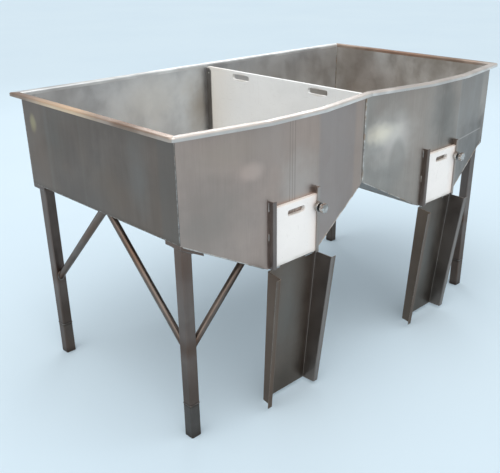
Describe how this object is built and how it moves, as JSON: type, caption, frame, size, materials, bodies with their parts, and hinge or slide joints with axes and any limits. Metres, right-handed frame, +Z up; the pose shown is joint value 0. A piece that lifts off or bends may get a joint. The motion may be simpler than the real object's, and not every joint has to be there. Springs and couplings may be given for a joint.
{
  "type": "pet bathtub",
  "caption": "Stainless steel tub on braced square legs, with a lift-out divider, sloping hopper floors, clamped sliding gates and discharge chutes hinged below them.",
  "frame": {"origin": "on the floor, under the middle of the whole object's box", "axes": "+X along the length, -Y out of the front where the gates and chutes are, +Z up"},
  "size_m": [1.781, 1.0091, 1.05],
  "materials": {
    "wall_steel": "fine brushed stainless sheet",
    "floor_steel": "brushed stainless sheet",
    "leg_steel": "brushed stainless tube",
    "foot_steel": "darker brushed stainless tube",
    "chute_steel": "brushed stainless sheet",
    "guide_steel": "folded stainless strip",
    "gate_board": "matt white polyethylene",
    "divider_board": "matt off-white polyethylene",
    "clamp_chrome": "polished",
    "hinge_steel": "turned stainless"
  },
  "bodies": {
    "tub": {"back_wall": "wall_steel", "clamp_boss_left": "clamp_chrome", "clamp_boss_right": "clamp_chrome", "divider_channel_back": "guide_steel", "divider_channel_front": "guide_steel", "end_brace_back_left": "leg_steel", "end_brace_back_right": "leg_steel", "end_brace_front_left": "leg_steel", "end_brace_front_right": "leg_steel", "foot_back_left": "foot_steel", "foot_back_right": "foot_steel", "foot_front_left": "foot_steel", "foot_front_right": "foot_steel", "front_panel_left": "wall_steel", "front_panel_right": "wall_steel", "gate_guide_left_a": "guide_steel", "gate_guide_left_b": "guide_steel", "gate_guide_right_a": "guide_steel", "gate_guide_right_b": "guide_steel", "hinge_knuckles_left": "hinge_steel", "hinge_knuckles_right": "hinge_steel", "hinge_pin_left": "hinge_steel", "hinge_pin_right": "hinge_steel", "hopper_floor_left": "floor_steel", "hopper_floor_right": "floor_steel", "left_end_wall": "wall_steel", "leg_back_left": "leg_steel", "leg_back_right": "leg_steel", "leg_front_left": "leg_steel", "leg_front_right": "leg_steel", "leg_pad_back_left": "leg_steel", "leg_pad_back_right": "leg_steel", "leg_pad_front_left": "leg_steel", "leg_pad_front_right": "leg_steel", "long_brace_back_left": "leg_steel", "long_brace_back_right": "leg_steel", "long_brace_front_left": "leg_steel", "long_brace_front_right": "leg_steel", "right_end_wall": "wall_steel"},
    "divider": {"divider_board": "divider_board"},
    "gate_left": {"gate_plate_left": "gate_board"},
    "clamp_rod_left": {"clamp_screw_left": "clamp_chrome"},
    "clamp_handle_left": {"clamp_knob_left": "clamp_chrome"},
    "chute_left": {"chute_left": "chute_steel"},
    "gate_right": {"gate_plate_right": "gate_board"},
    "clamp_rod_right": {"clamp_screw_right": "clamp_chrome"},
    "clamp_handle_right": {"clamp_knob_right": "clamp_chrome"},
    "chute_right": {"chute_right": "chute_steel"}
  },
  "joints": [
    {"name": "divider_lift", "type": "slide", "parent": "tub", "child": "divider", "axis": [0, 0, 1], "range_m": [0, 0.33]},
    {"name": "gate_lift_left", "type": "slide", "parent": "tub", "child": "gate_left", "axis": [0, 0, 1], "range_m": [0, 0.235]},
    {"name": "clamp_feed_left", "type": "slide", "parent": "tub", "child": "clamp_rod_left", "axis": [0, -1, 0], "range_m": [0, 0.0053]},
    {"name": "clamp_turn_left", "type": "hinge", "parent": "clamp_rod_left", "child": "clamp_handle_left", "pos_m": [-0.33325, -0.4835, 0.725], "axis": [0, -1, 0], "range_deg": [0, 1080]},
    {"name": "chute_swing_left", "type": "hinge", "parent": "tub", "child": "chute_left", "pos_m": [-0.43125, -0.4324, 0.5512], "axis": [-1, 0, 0], "range_deg": [-30, 75]},
    {"name": "gate_lift_right", "type": "slide", "parent": "tub", "child": "gate_right", "axis": [0, 0, 1], "range_m": [0, 0.235]},
    {"name": "clamp_feed_right", "type": "slide", "parent": "tub", "child": "clamp_rod_right", "axis": [0, -1, 0], "range_m": [0, 0.0053]},
    {"name": "clamp_turn_right", "type": "hinge", "parent": "clamp_rod_right", "child": "clamp_handle_right", "pos_m": [0.52925, -0.4835, 0.725], "axis": [0, -1, 0], "range_deg": [0, 1080]},
    {"name": "chute_swing_right", "type": "hinge", "parent": "tub", "child": "chute_right", "pos_m": [0.43125, -0.4324, 0.5512], "axis": [-1, 0, 0], "range_deg": [-30, 75]}
  ],
  "couplings": [
    {"joint": "clamp_feed_left", "follows": "clamp_turn_left", "m_per_rad": 0.00027852},
    {"joint": "clamp_feed_right", "follows": "clamp_turn_right", "m_per_rad": 0.00027852}
  ]
}
